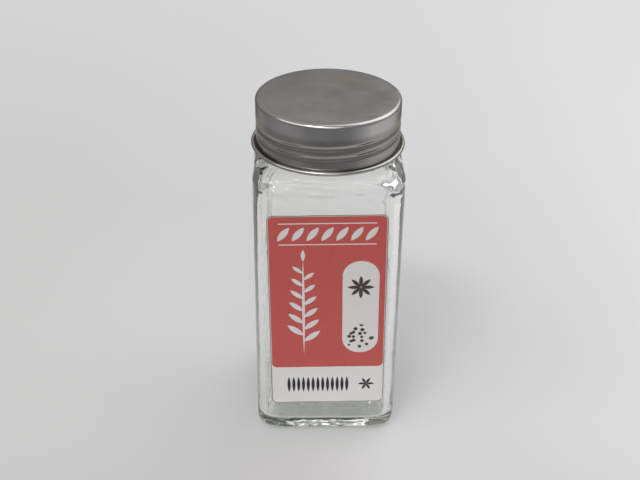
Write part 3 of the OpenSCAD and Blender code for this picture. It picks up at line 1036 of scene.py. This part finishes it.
paper_label.data.materials.append(label_paper)
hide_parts("label")
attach(paper_label, "jar")
print("label nodes:", len(tree.nodes))

# %% [markdown]
# ## The sifter
#
# Once the cap is off, the sifter shows in the neck: a milky moulded plug with a flange on the lip and a sunken
# floor with a ring of holes round a middle one. The floor follows a rule, so a second Geometry Nodes tree
# makes it from a hole count and a few radii. The wall is a turned section, and both get the small round edges
# that any moulding has.

# %% Perforated floor tree
plate = bpy.data.node_groups.new("perforated floor", "GeometryNodeTree")
for label, kind, default in (
    ("Holes", "NodeSocketInt", 6),
    ("Hole Radius", NUMBER, 0.003),
    ("Ring Radius", NUMBER, 0.010),
    ("Outer Radius", NUMBER, 0.016),
    ("Top Height", NUMBER, 0.1),
    ("Thickness", NUMBER, 0.001),
    ("Finish", "NodeSocketMaterial", None),
):
    item = plate.interface.new_socket(label, in_out="INPUT", socket_type=kind)
    if default is not None:
        item.default_value = default
plate.interface.new_socket("Geometry", in_out="OUTPUT", socket_type="NodeSocketGeometry")
given = plate.nodes.new("NodeGroupInput").outputs


def outline(radius, points):
    node = plate.nodes.new("GeometryNodeCurvePrimitiveCircle")
    node.inputs["Resolution"].default_value = points
    link(plate, given[radius], node.inputs["Radius"])
    return node.outputs["Curve"]


hole = outline("Hole Radius", 72)
spots = plate.nodes.new("GeometryNodeMeshCircle")
link(plate, given["Holes"], spots.inputs["Vertices"])
link(plate, given["Ring Radius"], spots.inputs["Radius"])
ring_of_holes = plate.nodes.new("GeometryNodeInstanceOnPoints")
link(plate, spots.outputs[0], ring_of_holes.inputs["Points"])
link(plate, hole, ring_of_holes.inputs["Instance"])
all_outlines = plate.nodes.new("GeometryNodeJoinGeometry")
for source in (outline("Outer Radius", 192), hole, ring_of_holes.outputs[0]):
    link(plate, source, all_outlines.inputs[0])
real = plate.nodes.new("GeometryNodeRealizeInstances")
link(plate, all_outlines.outputs[0], real.inputs[0])
sheet_face = plate.nodes.new("GeometryNodeFillCurve")
link(plate, real.outputs[0], sheet_face.inputs[0])
down = plate.nodes.new("ShaderNodeCombineXYZ")
link(plate, math_node(plate, "MULTIPLY", given["Thickness"], -1.0), down.inputs["Z"])
thick = plate.nodes.new("GeometryNodeExtrudeMesh")
thick.inputs["Individual"].default_value = False
link(plate, sheet_face.outputs[0], thick.inputs["Mesh"])
link(plate, down.outputs[0], thick.inputs["Offset"])
both_faces = plate.nodes.new("GeometryNodeJoinGeometry")
link(plate, thick.outputs["Mesh"], both_faces.inputs[0])
link(plate, sheet_face.outputs[0], both_faces.inputs[0])
closed = plate.nodes.new("GeometryNodeMergeByDistance")
link(plate, both_faces.outputs[0], closed.inputs[0])
closed.inputs["Distance"].default_value = 1e-6
lifted_up = plate.nodes.new("GeometryNodeTransform")
link(plate, closed.outputs[0], lifted_up.inputs[0])
to_height = plate.nodes.new("ShaderNodeCombineXYZ")
link(plate, given["Top Height"], to_height.inputs["Z"])
link(plate, to_height.outputs[0], lifted_up.inputs["Translation"])
coated = plate.nodes.new("GeometryNodeSetMaterial")
link(plate, lifted_up.outputs[0], coated.inputs["Geometry"])
link(plate, given["Finish"], coated.inputs["Material"])
link(plate, coated.outputs[0], plate.nodes.new("NodeGroupOutput").inputs[0])
print("floor tree nodes:", len(plate.nodes))

# %% Plastic and foam
moulded_white, tree, plastic = new_material("moulded_white")
spot = object_place(tree)
milky = place_group(tree, drift_group, Place=spot, Patches_per_Metre=160.0, Lowest=0.0, Highest=1.0)
link(tree, ink((0.80, 0.80, 0.77, 1), (0.86, 0.86, 0.84, 1), milky), plastic.inputs["Base Color"])
link(tree, place_group(tree, drift_group, Place=spot, Patches_per_Metre=300.0, Lowest=0.32, Highest=0.46), plastic.inputs["Roughness"])
plastic.inputs["Subsurface Weight"].default_value = 0.25
plastic.inputs["Subsurface Radius"].default_value = (0.6, 0.6, 0.55)
plastic.inputs["Subsurface Scale"].default_value = 0.0015
scuffs = place_group(tree, marks_group, Place=spot, Marks_per_Metre=160.0, Thinness=0.01, Stretch=(1.0, 1.0, 1.0))
raise_by(tree, plastic, scuffs, 0.00001, 0.4)

liner_foam, tree, foam = new_material("liner_foam")
spot = object_place(tree)
cells = tree.nodes.new("ShaderNodeTexVoronoi")
cells.inputs["Scale"].default_value = 2600
link(tree, spot, cells.inputs["Vector"])
link(tree, ink((0.78, 0.77, 0.72, 1), (0.85, 0.84, 0.80, 1), cells.outputs["Distance"]), foam.inputs["Base Color"])
link(tree, place_group(tree, drift_group, Place=spot, Patches_per_Metre=400.0, Lowest=0.6, Highest=0.75), foam.inputs["Roughness"])
raise_by(tree, foam, cells.outputs["Distance"], 0.00004, 0.5)

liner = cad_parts["cap_liner"]
liner.data.materials.clear()
liner.data.materials.append(liner_foam)

# %% Sifter, in millimetres
sifter_low, sifter_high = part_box("sifter_insert")
PLUG = BORE - 0.15
PLUG_WALL = 0.9
FLANGE = sifter_high.x / MM
FLANGE_TOP = sifter_high.z / MM
PLUG_BOTTOM = sifter_low.z / MM
SUNKEN = 2.5
HOLE = 3.2
HOLE_RIM = 3.0


def rounded(corners, radius, count=5):
    """A closed outline whose corners are replaced by short curves."""
    points = []
    for k, corner_point in enumerate(corners):
        middle = Vector(corner_point)
        before, after = Vector(corners[k - 1]), Vector(corners[(k + 1) % len(corners)])
        start = middle + (before - middle).normalized() * radius
        end = middle + (after - middle).normalized() * radius
        for t in steps(0, 1, count):
            points.append(start.lerp(middle, t).lerp(middle.lerp(end, t), t))
    return points


def turned_ring(name, outline_points, segments):
    """A closed ring: an outline of (r, z) points carried once round the axis."""
    n = len(outline_points)
    points, faces = [], []
    for i in range(segments):
        a = math.tau * i / segments
        points += [Vector((r * math.cos(a), r * math.sin(a), z)) * MM for r, z in outline_points]
        after = (i + 1) % segments
        faces += [(i * n + k, after * n + k, after * n + (k + 1) % n, i * n + (k + 1) % n) for k in range(n)]
    mesh = bpy.data.meshes.new(name)
    mesh.from_pydata(points, [], faces)
    mesh.shade_smooth()
    piece = bpy.data.objects.new(name, mesh)
    scene.collection.objects.link(piece)
    return piece


well = PLUG - PLUG_WALL
wall_outline = rounded([
    (well, PLUG_BOTTOM), (PLUG, PLUG_BOTTOM), (PLUG, LIP), (FLANGE, LIP), (FLANGE, FLANGE_TOP), (well, FLANGE_TOP)
], 0.3)
white_sifter = turned_ring("white_sifter", wall_outline, 192)
white_sifter.data.materials.append(moulded_white)

floor_piece = bpy.data.objects.new("sifter_floor", bpy.data.meshes.new("sifter_floor"))
scene.collection.objects.link(floor_piece)
shape_with(
    floor_piece, plate,
    Holes=6, Hole_Radius=HOLE * MM, Ring_Radius=(well - HOLE_RIM - HOLE) * MM, Outer_Radius=(well + 0.1) * MM,
    Top_Height=(LIP - SUNKEN) * MM, Thickness=1.0 * MM, Finish=moulded_white,
)
soft_edge = floor_piece.modifiers.new("soft edge", "BEVEL")
soft_edge.width = 0.2 * MM
soft_edge.segments = 3
soft_edge.limit_method = "ANGLE"
soft_edge.angle_limit = math.radians(50)
graph = bpy.context.evaluated_depsgraph_get()
soft_floor = bpy.data.meshes.new_from_object(floor_piece.evaluated_get(graph), depsgraph=graph)
work = bmesh.new()
work.from_mesh(white_sifter.data)
work.from_mesh(soft_floor)
bmesh.ops.recalc_face_normals(work, faces=work.faces)
work.to_mesh(white_sifter.data)
work.free()
bpy.data.objects.remove(floor_piece)
white_sifter.data.shade_smooth()
white_sifter.data.set_sharp_from_angle(angle=math.radians(40))
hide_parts("sifter_insert")
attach(white_sifter, "jar")
print("sifter faces:", len(white_sifter.data.polygons))

# %% [markdown]
# ## The sheet underneath
#
# A wide pale sheet carries the jar and fills the picture. It is not part of the object. Its tone drifts very slowly
# from place to place. Painted shade darkens it to the left, and painted light brightens it further back and to the
# right.

# %% Floor
FLOOR_SIZE = 2.5
floor_mesh = bpy.data.meshes.new("table_sheet")
floor_mesh.from_pydata([(-FLOOR_SIZE, -FLOOR_SIZE, -5e-5), (FLOOR_SIZE, -FLOOR_SIZE, -5e-5), (FLOOR_SIZE, FLOOR_SIZE, -5e-5), (-FLOOR_SIZE, FLOOR_SIZE, -5e-5)], [], [(0, 1, 2, 3)])
table_sheet = bpy.data.objects.new("table_sheet", floor_mesh)
scene.collection.objects.link(table_sheet)
pale_sheet, tree, sheet_finish = new_material("pale_sheet")
spot = object_place(tree)
slow = place_group(tree, drift_group, Place=spot, Patches_per_Metre=6.0, Lowest=0.0, Highest=1.0)
across, along_y, _ = split(tree, spot)
# Painted shadow: out in front of the jar, and further off to its left and right, the sheet turns dark grey, as if
# shaded by the room on the camera's side. The cap and the glass reflect this dark ground.
painted_shadow_zones = []
for a, b, start, end, most in ((0.0, -1.0, 0.01, 0.24, 1.0), (-0.96, -0.28, 0.118, 0.22, 0.80), (0.96, -0.28, 0.145, 0.40, 0.80)):
    away = math_node(tree, "ADD", math_node(tree, "MULTIPLY", across, a), math_node(tree, "MULTIPLY", along_y, b))
    fall = tree.nodes.new("ShaderNodeMapRange")
    fall.interpolation_type = "SMOOTHSTEP"
    link(tree, away, fall.inputs["Value"])
    fall.inputs["From Min"].default_value = start
    fall.inputs["From Max"].default_value = end
    fall.inputs["To Max"].default_value = most
    painted_shadow_zones.append(fall.outputs["Result"])
beyond = either(*painted_shadow_zones)
# Painted shade and light: the sheet is darker to the left of the jar and lighter further back and to the right.
left_shade = tree.nodes.new("ShaderNodeMapRange")
link(tree, across, left_shade.inputs["Value"])
left_shade.inputs["From Min"].default_value = 0.03
left_shade.inputs["From Max"].default_value = -0.12
sheet_tone_and_light = ink((0.78, 0.78, 0.785, 1), (0.82, 0.82, 0.82, 1), slow)
sheet_tone_and_light = ink(sheet_tone_and_light, (0.73, 0.725, 0.72, 1), left_shade.outputs["Result"])
far_light = tree.nodes.new("ShaderNodeMapRange")
link(tree, along_y, far_light.inputs["Value"])
far_light.inputs["From Min"].default_value = 0.14
far_light.inputs["From Max"].default_value = 0.42
sheet_tone_and_light = ink(sheet_tone_and_light, (0.885, 0.885, 0.885, 1), far_light.outputs["Result"])
right_light = tree.nodes.new("ShaderNodeMapRange")
link(tree, across, right_light.inputs["Value"])
right_light.inputs["From Min"].default_value = 0.06
right_light.inputs["From Max"].default_value = 0.17
sheet_tone_and_light = ink(sheet_tone_and_light, (0.91, 0.91, 0.91, 1), right_light.outputs["Result"])
link(tree, ink(sheet_tone_and_light, (0.20, 0.20, 0.205, 1), beyond), sheet_finish.inputs["Base Color"])
sheet_finish.inputs["Roughness"].default_value = 0.7
sheet_finish.inputs["Specular IOR Level"].default_value = 0.2
floor_mesh.materials.append(pale_sheet)

# %% Colour management
scene.view_settings.view_transform = "Standard"
